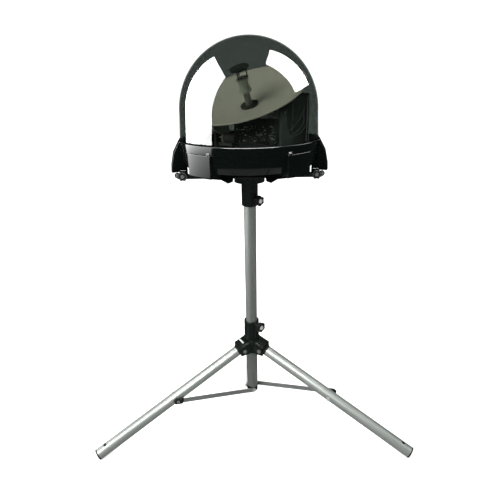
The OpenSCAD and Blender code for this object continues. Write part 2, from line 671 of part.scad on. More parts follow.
module dish_bracket() color("#8c9094") on_dish() {
    difference() {
        union() {
            translate([-12, hub_disc_l - bracket_half, -9]) cube([8, 2 * bracket_half - hub_disc_l, 18]);
            for (s = [-1, 1]) {
                along_y(s > 0 ? bracket_half - 5 : -bracket_half)
                    cylinder(r = 12, h = s > 0 ? 5 : hub_disc_l);
                along_y(s > 0 ? bracket_half - eps : -bracket_half - arm_t - 3.5)
                    cylinder(r = stub_r, h = arm_t + 3.5 + eps);
                for (z = [-5, 5]) translate([-12, s * post_y, z]) rotate([0, 90, 0])
                    cylinder(r = 4, h = 40);
            }
        }
        dish_ball(dish_ball_r + dish_t + 0.05);
    }
}

module elevation_gear() color("#e8e4da") on_axis() along_y(sector_y) difference() {
    linear_extrude(sector_t) intersection() {
        gear_outline(el_module, el_teeth, 12);
        polygon([[0, 0], 100 * [sin(sector_fore), cos(sector_fore)], 100 * [sin(sector_fore) / 2, 1.3],
            [0, 130], 100 * [-sin(sector_aft), 1.3], 100 * [-sin(sector_aft), cos(sector_aft)]]);
    }
    translate([0, 0, -1]) cylinder(r = 12, h = sector_t + 2);
}

// Local Z runs along the boresight from a point that far in front of the vertex.
module on_feed(x) on_dish() translate([vertex + x, 0, rim_above]) rotate([0, 90, 0]) children();

module feed_plate() color("#b9b7ae") on_feed(plate_seat) difference() {
    union() {
        cylinder(r = feed_plate_r, h = 4);
        for (a = [30 : 60 : 330]) rotate([0, 0, a]) translate([feed_plate_r - 6, 0, 4 - eps])
            cylinder(r = 2.6, h = 2);
    }
    translate([0, 0, -1]) cylinder(r = feed_r, h = 10);
}

module feed_tube() color("#c8c6be") on_feed(0.15) difference() {
    cylinder(r = feed_r, h = feed_l - 49.55);
    translate([0, 0, -1]) cylinder(r = feed_r - 2, h = feed_l);
}

module feed_cup() color("#dcdad2") on_feed(feed_l - 62) difference() {
    union() {
        cylinder(r = feed_r + 7, h = 9);
        translate([0, 0, 9 - eps]) cylinder(r = feed_r + 4, h = 14);
        translate([0, 0, 23 - 2 * eps]) cylinder(r1 = feed_r + 4, r2 = feed_r + 9, h = 12);
    }
    translate([0, 0, -1]) cylinder(r = feed_r, h = 13.6);
    translate([0, 0, 12]) cylinder(r = feed_r - 2, h = 30);
}

module subreflector() color("#33363a") on_feed(feed_l - 27) {
    for (a = [0 : 120 : 240]) rotate([0, 0, a]) translate([feed_r + 6, 0, 0]) cylinder(r = 1.6, h = 24);
    translate([0, 0, 24 - eps]) cylinder(r = 24.5, h = 3);
    translate([0, 0, 15]) cylinder(r1 = 3, r2 = 14, h = 9);
}

mast_tube();
mast_foot();
brace_bolts();
hub_body();
hub_bush();
hub_bolts();
hub_screw();
hub_knob();
leg_tube(0);  // leg_tube_1
leg_tube(1);  // leg_tube_2
leg_tube(2);  // leg_tube_3
leg_top(0);  // leg_top_1
leg_top(1);  // leg_top_2
leg_top(2);  // leg_top_3
leg_tip(0);  // leg_tip_1
leg_tip(1);  // leg_tip_2
leg_tip(2);  // leg_tip_3
leg_bolt(0);  // leg_bolt_1
leg_bolt(1);  // leg_bolt_2
leg_bolt(2);  // leg_bolt_3
brace(0);  // brace_1
brace(1);  // brace_2
brace(2);  // brace_3
brace_end(0);  // brace_end_1
brace_end(1);  // brace_end_2
brace_end(2);  // brace_end_3
mount_sleeve();
sleeve_screw();
sleeve_knob();
flange_bolts();
mount_plate();
side_screw(-1);  // left_screw
side_knob(-1);  // left_knob
side_screw(1);  // right_screw
side_knob(1);  // right_knob
clamp_bolts();
rubber_feet();
base_tray();
base_ring();
ring_screws();
dome_gasket();
dome();
coax_inlet();
azimuth_gear();
centre_bearing();
turntable();
yoke_arms();
control_board();
board_parts();
azimuth_motor();
azimuth_pinion();
elevation_motor();
elevation_pinion();
dish_bracket();
elevation_gear();
dish();
feed_plate();
feed_tube();
feed_cup();
subreflector();
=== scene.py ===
# %% [markdown]
# This lesson finishes a portable dome antenna that stands on a folding aluminium tripod.
# A smoked, glossy dome covers a tilted reflector dish, and a black base carries the dome on a plate,
# a flange and a round mast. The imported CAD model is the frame: its parts keep their places and sizes,
# and Blender adds the finish, the studio and the finer pieces.

# %% Load the frame
import math
import random

import bmesh
import bpy
from mathutils import Matrix, Vector


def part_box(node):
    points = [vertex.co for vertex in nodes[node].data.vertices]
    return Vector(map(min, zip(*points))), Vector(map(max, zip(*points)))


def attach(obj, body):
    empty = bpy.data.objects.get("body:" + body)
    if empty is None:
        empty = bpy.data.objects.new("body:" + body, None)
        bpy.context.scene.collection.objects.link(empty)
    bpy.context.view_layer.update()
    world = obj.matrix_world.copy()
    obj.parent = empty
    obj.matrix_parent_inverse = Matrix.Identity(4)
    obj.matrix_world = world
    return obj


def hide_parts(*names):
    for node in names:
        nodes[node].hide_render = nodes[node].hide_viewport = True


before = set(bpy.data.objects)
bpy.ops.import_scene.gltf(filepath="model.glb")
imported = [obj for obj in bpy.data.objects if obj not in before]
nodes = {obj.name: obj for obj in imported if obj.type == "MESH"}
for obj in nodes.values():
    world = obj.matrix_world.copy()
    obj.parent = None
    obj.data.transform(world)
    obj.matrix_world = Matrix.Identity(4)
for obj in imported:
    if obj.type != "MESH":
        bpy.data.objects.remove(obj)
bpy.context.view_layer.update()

# %% [markdown]
# The camera comes first, because every later choice is judged through it. It stands at about the
# height of the dome, a little over a metre in front, and looks down by some twenty degrees. Its matrix
# is built from three angles, so each of them can be tuned alone.

# %% Camera
MM = 0.001
LENS, SENSOR = 30.09, 36.0
PITCH, ROLL, YAW = (math.radians(a) for a in (21.53, 1.18, -0.97))
CAMERA_PLACE = Vector((0.0, -1.1172, 0.9911))

ahead = Vector((math.sin(YAW) * math.cos(PITCH), math.cos(YAW) * math.cos(PITCH), -math.sin(PITCH)))
level = Vector((math.cos(YAW), -math.sin(YAW), 0))
below = ahead.cross(level)
across = math.cos(ROLL) * level + math.sin(ROLL) * below
downward = math.cos(ROLL) * below - math.sin(ROLL) * level
camera = bpy.data.objects.new("camera", bpy.data.cameras.new("camera"))
bpy.context.scene.collection.objects.link(camera)
camera.data.lens, camera.data.sensor_width = LENS, SENSOR
camera.data.clip_start, camera.data.clip_end = 0.01, 100
turn = Matrix((across, -downward, -ahead)).transposed()
camera.matrix_world = Matrix.Translation(CAMERA_PLACE) @ turn.to_4x4()
bpy.context.scene.camera = camera
print("camera", [round(v, 3) for v in camera.location], "lens", LENS)

# %% [markdown]
# The studio is a pale floor that runs off to white, with soft light. Two kinds of light share the work.
# Large area lights give the tubes and the paint their soft shading. Bright cards are what the glossy
# dome and the black base mirror, as softboxes do in a product studio, and only shine is lit by them.

# %% Studio helpers
def join_collection(name, objects):
    """A collection that light linking can name."""
    group = bpy.data.collections.new(name)
    for obj in objects:
        group.objects.link(obj)
    return group


def plain_mesh(name, corners, faces):
    """A mesh object from corners, in metres, and faces."""
    mesh = bpy.data.meshes.new(name)
    mesh.from_pydata([tuple(c) for c in corners], [], faces)
    obj = bpy.data.objects.new(name, mesh)
    bpy.context.scene.collection.objects.link(obj)
    return obj


def area_light(name, place, target, size, power, tint=(1, 1, 1)):
    """A rectangular light at place that faces target."""
    light = bpy.data.objects.new(name, bpy.data.lights.new(name, "AREA"))
    light.data.shape = "RECTANGLE"
    light.data.size, light.data.size_y = size
    light.data.energy = power
    light.data.color = tint
    bpy.context.scene.collection.objects.link(light)
    light.location = place
    light.rotation_euler = (Vector(target) - Vector(place)).to_track_quat("-Z", "Y").to_euler()
    return light


# %% World and floor
WHITE_WALL = 1.15
FILL_LIGHT = 0.75
FILL_TINT = (0.97, 1.0, 0.98, 1)
DARK_ROOM = (0.030, 0.036, 0.033, 1)

scene = bpy.context.scene
scene.view_settings.view_transform = "Standard"
world = bpy.data.worlds.new("studio")
scene.world = world
world.use_nodes = True
tree = world.node_tree
tree.nodes.clear()
out = tree.nodes.new("ShaderNodeOutputWorld")
kind = tree.nodes.new("ShaderNodeLightPath")
wall, fill, dark = (tree.nodes.new("ShaderNodeBackground") for _ in range(3))
wall.inputs["Color"].default_value = (1, 1, 1, 1)
wall.inputs["Strength"].default_value = WHITE_WALL
fill.inputs["Color"].default_value = FILL_TINT
fill.inputs["Strength"].default_value = FILL_LIGHT
dark.inputs["Color"].default_value = DARK_ROOM
shine, seen = tree.nodes.new("ShaderNodeMixShader"), tree.nodes.new("ShaderNodeMixShader")
tree.links.new(kind.outputs["Is Glossy Ray"], shine.inputs["Fac"])
tree.links.new(fill.outputs[0], shine.inputs[1])
tree.links.new(dark.outputs[0], shine.inputs[2])
tree.links.new(kind.outputs["Is Camera Ray"], seen.inputs["Fac"])
tree.links.new(shine.outputs[0], seen.inputs[1])
tree.links.new(wall.outputs[0], seen.inputs[2])
tree.links.new(seen.outputs[0], out.inputs["Surface"])

FLOOR_HALF = 14.0
floor = plain_mesh("floor", [(-FLOOR_HALF, -FLOOR_HALF, 0), (FLOOR_HALF, -FLOOR_HALF, 0),
                             (FLOOR_HALF, FLOOR_HALF, 0), (-FLOOR_HALF, FLOOR_HALF, 0)], [(0, 1, 2, 3)])
floor_paint = bpy.data.materials.new("pale_floor")
floor_paint.use_nodes = True
floor_shader = floor_paint.node_tree.nodes["Principled BSDF"]
floor_shader.inputs["Base Color"].default_value = (0.93, 0.93, 0.93, 1)
floor_shader.inputs["Roughness"].default_value = 0.9
floor_shader.inputs["Specular IOR Level"].default_value = 0.1
floor_shader.inputs["Emission Color"].default_value = (1, 1, 1, 1)
floor_shader.inputs["Emission Strength"].default_value = 0.6
floor.data.materials.append(floor_paint)
floor.visible_glossy = False
print("floor", FLOOR_HALF * 2, "m across")

# %% [markdown]
# A surface is never one flat colour. These node groups hold the effects that several finishes share:
# a fine grain for moulded and painted faces, long streaks for drawn tube, wear on exposed edges, dust
# on faces that look up, and slow smudges that vary the gloss. Each one is built once, with named
# sockets, and every material places it with its own values.

# %% Node group helpers
def new_group(name, inputs, outputs):
    """An empty shader node group with float inputs {name: default} and outputs {name: socket type}."""
    group = bpy.data.node_groups.new(name, "ShaderNodeTree")
    for label, value in inputs.items():
        socket = group.interface.new_socket(label, in_out="INPUT", socket_type="NodeSocketFloat")
        socket.default_value = value
    for label, kind in outputs.items():
        group.interface.new_socket(label, in_out="OUTPUT", socket_type=kind)
    start = group.nodes.new("NodeGroupInput")
    end = group.nodes.new("NodeGroupOutput")
    return group, start.outputs, end.inputs


def node(tree, kind, links=(), **values):
    """Adds a node; links are (input, source socket) and values set its properties."""
    made = tree.nodes.new("ShaderNode" + kind)
    for key, value in values.items():
        setattr(made, key, value)
    for label, source in links:
        if isinstance(source, bpy.types.NodeSocket):
            tree.links.new(source, made.inputs[label])
        else:
            made.inputs[label].default_value = source
    return made


def spread(tree, source, low, high, to_low=0.0, to_high=1.0):
    """Maps a value from low..high onto to_low..to_high and holds it there."""
    return node(tree, "MapRange", [("Value", source), ("From Min", low), ("From Max", high),
                                   ("To Min", to_low), ("To Max", to_high)]).outputs["Result"]


def times(tree, one, other):
    """The product of two values, each a number or a socket."""
    return node(tree, "Math", [(0, one), (1, other)], operation="MULTIPLY").outputs[0]


# %% Grain
grain, ins, outs = new_group("grain", {"Scale": 900.0, "Depth": 1.0},
                             {"Height": "NodeSocketFloat", "Mask": "NodeSocketFloat"})
place = node(grain, "TexCoord").outputs["Object"]
pits = node(grain, "TexNoise", [("Vector", place), ("Scale", ins["Scale"]), ("Detail", 3.0),
                                ("Roughness", 0.65)])
grain.links.new(times(grain, pits.outputs["Fac"], ins["Depth"]), outs["Height"])
grain.links.new(spread(grain, pits.outputs["Fac"], 0.35, 0.65), outs["Mask"])

# %% Edge wear
edge_wear, ins, outs = new_group("edge_wear", {"Amount": 0.3, "Scale": 60.0}, {"Mask": "NodeSocketFloat"})
corner = node(edge_wear, "NewGeometry").outputs["Pointiness"]
place = node(edge_wear, "TexCoord").outputs["Object"]
patch = node(edge_wear, "TexNoise", [("Vector", place), ("Scale", ins["Scale"]), ("Detail", 4.0)])
sharp = spread(edge_wear, corner, 0.53, 0.62)
torn = times(edge_wear, sharp, spread(edge_wear, patch.outputs["Fac"], 0.42, 0.62))
edge_wear.links.new(times(edge_wear, torn, ins["Amount"]), outs["Mask"])

# %% Dust
dust, ins, outs = new_group("dust", {"Amount": 0.2, "Scale": 40.0}, {"Mask": "NodeSocketFloat"})
facing = node(dust, "SeparateXYZ", [("Vector", node(dust, "NewGeometry").outputs["Normal"])])
place = node(dust, "TexCoord").outputs["Object"]
drift = node(dust, "TexNoise", [("Vector", place), ("Scale", ins["Scale"]), ("Detail", 5.0),
                                ("Roughness", 0.6)])
settled = times(dust, spread(dust, facing.outputs["Z"], 0.35, 0.95),
                spread(dust, drift.outputs["Fac"], 0.38, 0.7))
dust.links.new(times(dust, settled, ins["Amount"]), outs["Mask"])

# %% Smudges
smudge, ins, outs = new_group("smudge", {"Scale": 14.0, "Low": 0.2, "High": 0.35},
                              {"Value": "NodeSocketFloat"})
place = node(smudge, "TexCoord").outputs["Object"]
cloud = node(smudge, "TexNoise", [("Vector", place), ("Scale", ins["Scale"]), ("Detail", 4.0),
                                  ("Distortion", 0.6)])
gloss_level = spread(smudge, cloud.outputs["Fac"], 0.35, 0.65, ins["Low"], ins["High"])
smudge.links.new(gloss_level, outs["Value"])
print("groups", [g.name for g in bpy.data.node_groups])

# %% [markdown]
# A material starts from one Principled shader. The helpers below place a group in it, mix two colours by
# a mask, and turn a height into a bump. Numbers that are the same all over go straight on the shader.

# %% Material helpers
def start_material(name, colour, metal=0.0, rough=0.4, **fixed):
    """A material with its Principled shader; fixed sets sockets that stay the same all over."""
    made = bpy.data.materials.new(name)
    made.use_nodes = True
    shader = made.node_tree.nodes["Principled BSDF"]
    shader.inputs["Base Color"].default_value = (*colour, 1)
    shader.inputs["Metallic"].default_value = metal
    shader.inputs["Roughness"].default_value = rough
    for label, value in fixed.items():
        shader.inputs[label.replace("_", " ")].default_value = value
    return made, made.node_tree, shader


def place_group(tree, group, **values):
    """Places a node group with its values set, and gives back its outputs."""
    made = tree.nodes.new("ShaderNodeGroup")
    made.node_tree = group
    for label, value in values.items():
        made.inputs[label].default_value = value
    return made.outputs


def mix_colour(tree, mask, under, over):
    """under where mask is 0 and over where it is 1; each is a colour or a socket."""
    made = node(tree, "Mix", data_type="RGBA")
    tree.links.new(mask, made.inputs["Factor"])
    for label, value in (("A", under), ("B", over)):
        socket = next(s for s in made.inputs if s.name == label and s.type == "RGBA")
        if isinstance(value, bpy.types.NodeSocket):
            tree.links.new(value, socket)
        else:
            socket.default_value = (*value, 1)
    return next(s for s in made.outputs if s.type == "RGBA")


def add_bump(tree, shader, height, strength, distance):
    """Turns a height into a bump on the shader's normal."""
    made = node(tree, "Bump", [("Height", height), ("Strength", strength), ("Distance", distance)])
    tree.links.new(made.outputs["Normal"], shader.inputs["Normal"])


# %% [markdown]
# Tripod tube is drawn and then anodised, so it is satin with faint streaks along its length. The streaks
# follow the tube, so the noise is squeezed across it and stretched along it, in coordinates turned to
# the tube's own axis. That makes one material for each leg and one for the mast.

# %% Drawn tube
streak, ins, outs = new_group("streak", {"Fineness": 260.0, "Length": 3.0, "Slope": 0.0, "Heading": 0.0},
                              {"Streaks": "NodeSocketFloat", "Blotches": "NodeSocketFloat"})
place = node(streak, "TexCoord").outputs["Object"]
heading = node(streak, "CombineXYZ", [("Z", ins["Heading"])])
turned = node(streak, "VectorRotate", [("Vector", place), ("Rotation", heading.outputs[0])],
              rotation_type="EULER_XYZ", invert=True)
slope = node(streak, "CombineXYZ", [("Y", ins["Slope"])])
along = node(streak, "VectorRotate", [("Vector", turned.outputs[0]), ("Rotation", slope.outputs[0])],
             rotation_type="EULER_XYZ", invert=True)
stretch = node(streak, "CombineXYZ", [("X", ins["Fineness"]), ("Y", ins["Fineness"]), ("Z", ins["Length"])])
squeezed = node(streak, "VectorMath", [(0, along.outputs[0]), (1, stretch.outputs[0])],
                operation="MULTIPLY")
lines = node(streak, "TexNoise", [("Vector", squeezed.outputs[0]), ("Scale", 1.0), ("Detail", 4.0),
                                  ("Roughness", 0.7)])
blots = node(streak, "TexNoise", [("Vector", place), ("Scale", 9.0), ("Detail", 3.0)])
streak.links.new(spread(streak, lines.outputs["Fac"], 0.3, 0.7), outs["Streaks"])
streak.links.new(spread(streak, blots.outputs["Fac"], 0.35, 0.65), outs["Blotches"])


def drawn_tube(name, slope, heading, pale=(0.72, 0.76, 0.72), dull=(0.64, 0.68, 0.64), rough=(0.36, 0.44),
               metal=0.86):
    """Streaked tube or strip; slope and heading, in radians, turn the streaks to the piece's axis."""
    made, tree, shader = start_material(name, pale, metal=metal)
    marks = place_group(tree, streak, Slope=slope, Heading=heading)
    worn = place_group(tree, edge_wear, Amount=0.12, Scale=90.0)["Mask"]
    drawn = mix_colour(tree, marks["Streaks"], dull, pale)
    tree.links.new(mix_colour(tree, worn, drawn, (0.9, 0.9, 0.9)), shader.inputs["Base Color"])
    gloss = node(tree, "Math", [(0, marks["Streaks"]), (1, marks["Blotches"])], operation="ADD")
    tree.links.new(spread(tree, gloss.outputs[0], 0.0, 2.0, *rough), shader.inputs["Roughness"])
    add_bump(tree, shader, marks["Streaks"], 0.04, 0.0003)
    return made


LEG_SLOPE = math.radians(90 + 22)
LEG_HEADINGS = [math.radians(a) for a in (210, 330, 90)]
mast_finish = drawn_tube("anodised_mast", 0.0, 0.0, metal=0.91)
leg_finishes = [drawn_tube(f"anodised_leg_{i + 1}", LEG_SLOPE, h) for i, h in enumerate(LEG_HEADINGS)]
print("tube finishes", 1 + len(leg_finishes))

# %% [markdown]
# The braces, bolts and bearing are bare or plated metal. A brace is stamped strip, so its streaks run
# along it too, while bolt heads only need a fine turned grain and a brighter worn edge.

# %% Bare and plated metal
BRACE_RISE = math.radians(90 - 15.78)
BRACE_LOOK = ((0.66, 0.69, 0.67), (0.60, 0.63, 0.61), (0.34, 0.44))
brace_finishes = [drawn_tube(f"stamped_strip_{i + 1}", BRACE_RISE, h, *BRACE_LOOK)
                  for i, h in enumerate(LEG_HEADINGS)]


def turned_metal(name, colour, worn_colour, rough):
    """Turned or plated metal with a fine grain and brighter worn edges."""
    made, tree, shader = start_material(name, colour, metal=0.55, rough=rough)
    fine = place_group(tree, grain, Scale=1400.0, Depth=1.0)
    worn = place_group(tree, edge_wear, Amount=0.7, Scale=120.0)["Mask"]
    darker = tuple(0.78 * c for c in colour)
    body = mix_colour(tree, fine["Mask"], darker, colour)
    tree.links.new(mix_colour(tree, worn, body, worn_colour), shader.inputs["Base Color"])
    value = place_group(tree, smudge, Scale=60.0, Low=rough - 0.06, High=rough + 0.08)["Value"]
    tree.links.new(value, shader.inputs["Roughness"])
    add_bump(tree, shader, fine["Height"], 0.15, 0.0002)
    return made


steel = turned_metal("zinc_plated_steel", (0.62, 0.63, 0.62), (0.85, 0.85, 0.84), 0.28)
bright_metal = turned_metal("turned_aluminium", (0.78, 0.79, 0.77), (0.92, 0.92, 0.91), 0.3)
worn_steel = turned_metal("worn_steel", (0.20, 0.21, 0.20), (0.35, 0.36, 0.35), 0.34)
brass = turned_metal("plated_brass", (0.75, 0.56, 0.27), (0.9, 0.78, 0.5), 0.25)

# %% [markdown]
# Black is the hardest colour to finish, because all of its character is in its gloss. The hub and the
# sleeve are cast and coated, the plate is powder coated with a fine orange peel, the caps are moulded
# nylon with a satin grain, and the knobs are a drier, rougher plastic. All share one recipe.

# %% Black finishes
def black_finish(name, colour, rough, peel, scale, wear=0.08, film=0.03, coat=0.0, swing=0.08,
                 shine=0.5):
    """A black coating or plastic.

    peel is the strength of its bump, film how much dust lies on it, swing how far its gloss varies
    and shine its specular level.
    """
    made, tree, shader = start_material(name, colour, Coat_Roughness=0.08)
    fine = place_group(tree, grain, Scale=scale, Depth=1.0)
    worn = place_group(tree, edge_wear, Amount=wear, Scale=70.0)["Mask"]
    haze = place_group(tree, dust, Amount=film, Scale=55.0)["Mask"]
    lifted = tuple(1.8 * c for c in colour)
    body = mix_colour(tree, fine["Mask"], colour, lifted)
    rubbed = mix_colour(tree, worn, body, tuple(c + 0.07 for c in colour))
    tree.links.new(mix_colour(tree, haze, rubbed, (0.20, 0.20, 0.19)), shader.inputs["Base Color"])
    value = place_group(tree, smudge, Scale=18.0, Low=rough - swing / 2, High=rough + swing)["Value"]
    tree.links.new(value, shader.inputs["Roughness"])
    shader.inputs["Coat Weight"].default_value = coat
    shader.inputs["Specular IOR Level"].default_value = shine
    add_bump(tree, shader, fine["Height"], peel, 0.0003)
    return made


cast_black = black_finish("coated_casting", (0.0032, 0.0050, 0.0040), 0.26, 0.06, 500.0, coat=0.25)
powder_black = black_finish("powder_coat", (0.0025, 0.0032, 0.0029), 0.36, 0.22, 900.0)
nylon_black = black_finish("satin_nylon", (0.007, 0.008, 0.0075), 0.42, 0.18, 1500.0)
knob_black = black_finish("knob_plastic", (0.004, 0.005, 0.0045), 0.42, 0.3, 1900.0, wear=0.1)
rubber = black_finish("foot_rubber", (0.010, 0.010, 0.010), 0.7, 0.35, 2200.0, wear=0.1, film=0.2)
gloss_black = black_finish("gloss_moulding", (0.0015, 0.0024, 0.0020), 0.08, 0.004, 220.0, wear=0.0,
                           film=0.0, swing=0.02, shine=0.14)
inner_black = black_finish("inner_paint", (0.020, 0.022, 0.021), 0.5, 0.2, 700.0)
print("black finishes ready")

# %% [markdown]
# The dome is thin smoked acrylic. Real light passes straight through such a wall, tinted, and only a
# few per cent is mirrored head on, rising steeply towards the rim. So the finish mixes a tinted
# see-through shader with a sharp mirror by Fresnel. A refracting glass shader would look the same on
# a wall this thin, but it would throw noisy shadows on the dish.

# %% Smoked acrylic
def bare_material(name):
    """A material whose node tree holds nothing but its output."""
    made = bpy.data.materials.new(name)
    made.use_nodes = True
    made.node_tree.nodes.clear()
    return made, made.node_tree, node(made.node_tree, "OutputMaterial")


SMOKE = (0.434, 0.458, 0.443)
ACRYLIC_IOR = 1.49
dome_finish, tree, end = bare_material("smoked_acrylic")
haze = place_group(tree, smudge, Scale=7.0, Low=0.0, High=0.03)["Value"]
speck = place_group(tree, dust, Amount=0.06, Scale=180.0)["Mask"]
smoke = mix_colour(tree, haze, SMOKE, (0.52, 0.53, 0.51))
clear = node(tree, "BsdfTransparent", [("Color", mix_colour(tree, speck, smoke, (0.3, 0.3, 0.3)))])
mirror = node(tree, "BsdfPrincipled")
mirror.inputs["Base Color"].default_value = (1, 1, 1, 1)
mirror.inputs["Metallic"].default_value = 1.0
breath = place_group(tree, smudge, Scale=11.0, Low=0.01, High=0.03)["Value"]
tree.links.new(breath, mirror.inputs["Roughness"])
# Only the near wall mirrors. The far wall is seen from behind, where a mirror would show ghosts.
behind = node(tree, "NewGeometry").outputs["Backfacing"]
edge = node(tree, "Fresnel", [("IOR", ACRYLIC_IOR)])
facing = spread(tree, behind, 0.0, 1.0, 1.0, 0.0)
near = times(tree, edge.outputs[0], facing)
wall_mix = node(tree, "MixShader", [("Fac", near), (1, clear.outputs[0]), (2, mirror.outputs[0])])
tree.links.new(wall_mix.outputs[0], end.inputs["Surface"])

inner_finish, tree, end = bare_material("smoked_acrylic_inside")
haze = place_group(tree, smudge, Scale=9.0, Low=0.0, High=0.08)["Value"]
clear = node(tree, "BsdfTransparent", [("Color", mix_colour(tree, haze, SMOKE, (0.50, 0.51, 0.49)))])
tree.links.new(clear.outputs[0], end.inputs["Surface"])
print("dome lets through", round(SMOKE[1] ** 2, 3), "of the light at each wall")

# %% [markdown]
# Inside the dome the dish is painted a warm light grey with a slight orange peel. The feed is plastic,
# with an off-white cup on a grey tube and a dark plate and disc, and the gears are natural nylon. The
# circuit board is green resist over a copper pattern, which a brick texture lays out in rectangles.

# %% Finishes inside the dome
def satin_paint(name, colour, deeper, rough, scale, peel):
    """Satin paint or plastic: its grain runs between two tones, and peel is the strength of its bump."""
    made, tree, shader = start_material(name, colour, rough=rough)
    fine = place_group(tree, grain, Scale=scale, Depth=1.0)
    haze = place_group(tree, dust, Amount=0.15, Scale=30.0)["Mask"]
    body = mix_colour(tree, fine["Mask"], deeper, colour)
    tree.links.new(mix_colour(tree, haze, body, (0.45, 0.44, 0.40)), shader.inputs["Base Color"])
    value = place_group(tree, smudge, Scale=12.0, Low=rough - 0.06, High=rough + 0.06)["Value"]
    tree.links.new(value, shader.inputs["Roughness"])
    add_bump(tree, shader, fine["Height"], peel, 0.0002)
    return made


dish_paint = satin_paint("dish_paint", (0.66, 0.61, 0.555), (0.62, 0.575, 0.52), 0.42, 650.0, 0.08)
feed_white = satin_paint("feed_plastic", (0.52, 0.53, 0.49), (0.46, 0.47, 0.43), 0.35, 1200.0, 0.08)
feed_grey = satin_paint("feed_tube_grey", (0.26, 0.27, 0.25), (0.22, 0.23, 0.21), 0.35, 1200.0, 0.08)
feed_dark = satin_paint("subreflector_dark", (0.035, 0.04, 0.037), (0.025, 0.03, 0.027), 0.3, 1200.0, 0.1)
gear_nylon = satin_paint("natural_nylon", (0.70, 0.68, 0.60), (0.64, 0.62, 0.55), 0.45, 1500.0, 0.1)
motor_grey = satin_paint("motor_can", (0.16, 0.165, 0.16), (0.12, 0.125, 0.12), 0.3, 800.0, 0.1)

board_green, tree, shader = start_material("solder_resist", (0.01, 0.10, 0.045), rough=0.3)
place = node(tree, "TexCoord").outputs["Object"]
tracks = node(tree, "TexBrick", [("Vector", place), ("Scale", 70.0), ("Mortar Size", 0.06),
                                 ("Color1", (0.010, 0.085, 0.040, 1)), ("Color2", (0.014, 0.125, 0.060, 1)),
                                 ("Mortar", (0.05, 0.23, 0.11, 1))])
tree.links.new(tracks.outputs["Color"], shader.inputs["Base Color"])
add_bump(tree, shader, tracks.outputs["Fac"], 0.3, 0.0001)
chip_black = satin_paint("chip_epoxy", (0.018, 0.018, 0.02), (0.012, 0.012, 0.013), 0.4, 1500.0, 0.1)
print("inner finishes ready")

# %% [markdown]
# Every CAD part that stays as it is now gets its finish. Edges of machined, cast and moulded parts are
# never razor sharp, and a rounded edge catches the light, so most of these parts also get a small
# bevel. The tubes, bush, gasket, board and dish go without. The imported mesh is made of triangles, so
# a planar dissolve comes first: it joins them into whole faces, and the bevel sees only real edges.

# %% Finish the CAD parts
WELD_GAP = 0.00001
FLAT_WITHIN = math.radians(0.6)
CAD_EDGE = 32


def soften(obj, width, segments=3, angle=30):
    """Rounds an object's sharp edges by width millimetres and evens its shading."""
    bevel = obj.modifiers.new("soft_edges", "BEVEL")
    bevel.width = width * MM
    bevel.segments = segments
    bevel.limit_method = "ANGLE"
    bevel.angle_limit = math.radians(angle)
    obj.modifiers.new("even_shading", "WEIGHTED_NORMAL").weight = 60
    return obj


def dress(name, material, round_mm=0.0):
    """Gives a CAD part its material, and rounds its edges by round_mm where that is set."""
    obj = nodes[name]
    obj.data.materials.clear()
    obj.data.materials.append(material)
    if round_mm:
        obj.modifiers.new("weld", "WELD").merge_threshold = WELD_GAP
        flat = obj.modifiers.new("whole_faces", "DECIMATE")
        flat.decimate_type = "DISSOLVE"
        flat.angle_limit = FLAT_WITHIN
        soften(obj, round_mm, 2, CAD_EDGE)


FINISHES = {
    "mast_tube": (mast_finish, 0), "mast_foot": (nylon_black, 0.5), "brace_bolts": (steel, 0.4),
    "hub_body": (cast_black, 1.2), "hub_bush": (nylon_black, 0), "hub_bolts": (worn_steel, 0.4),
    "hub_screw": (steel, 0.4), "hub_knob": (knob_black, 0.8),
    "mount_sleeve": (cast_black, 0.8), "sleeve_screw": (steel, 0.4), "sleeve_knob": (knob_black, 0.8),
    "flange_bolts": (steel, 0.4), "mount_plate": (powder_black, 0.5),
    "left_screw": (worn_steel, 0.4), "left_knob": (knob_black, 0.8),
    "right_screw": (worn_steel, 0.4), "right_knob": (knob_black, 0.8), "clamp_bolts": (worn_steel, 0.4),
    "rubber_feet": (rubber, 0.8), "ring_screws": (steel, 0.4), "dome_gasket": (rubber, 0),
    "coax_inlet": (brass, 0.3),
    "azimuth_gear": (gear_nylon, 0.2), "centre_bearing": (bright_metal, 0.4),
    "turntable": (inner_black, 0.4), "yoke_arms": (inner_black, 0.6),
    "control_board": (board_green, 0), "board_parts": (chip_black, 0.3),
    "azimuth_motor": (motor_grey, 0.5), "azimuth_pinion": (gear_nylon, 0.2),
    "elevation_motor": (motor_grey, 0.5), "elevation_pinion": (gear_nylon, 0.2),
    "dish": (dish_paint, 0), "dish_bracket": (bright_metal, 0.4), "elevation_gear": (gear_nylon, 0.2),
    "feed_plate": (feed_dark, 0.3), "feed_tube": (feed_grey, 0), "feed_cup": (feed_white, 0.5),
    "subreflector": (feed_dark, 0.4),
}
for name, (finish, round_mm) in FINISHES.items():
    dress(name, finish, round_mm)
for i in range(3):
    dress(f"leg_tube_{i + 1}", leg_finishes[i])
    dress(f"leg_top_{i + 1}", nylon_black, 0.6)
    dress(f"leg_tip_{i + 1}", nylon_black, 0.5)
    dress(f"leg_bolt_{i + 1}", steel, 0.5)
    dress(f"brace_{i + 1}", brace_finishes[i], 0.3)
    dress(f"brace_end_{i + 1}", nylon_black, 0.6)
print("finished CAD parts", len(FINISHES) + 18)

# %% [markdown]
# Round pieces are turned from an outline, as on a lathe. Bmesh lays out rings of points, which gives
# clean, even faces and a smooth highlight. A fillet helper rounds the outline's corners first, because
# that is cheaper than a bevel and its radius can differ from corner to corner.

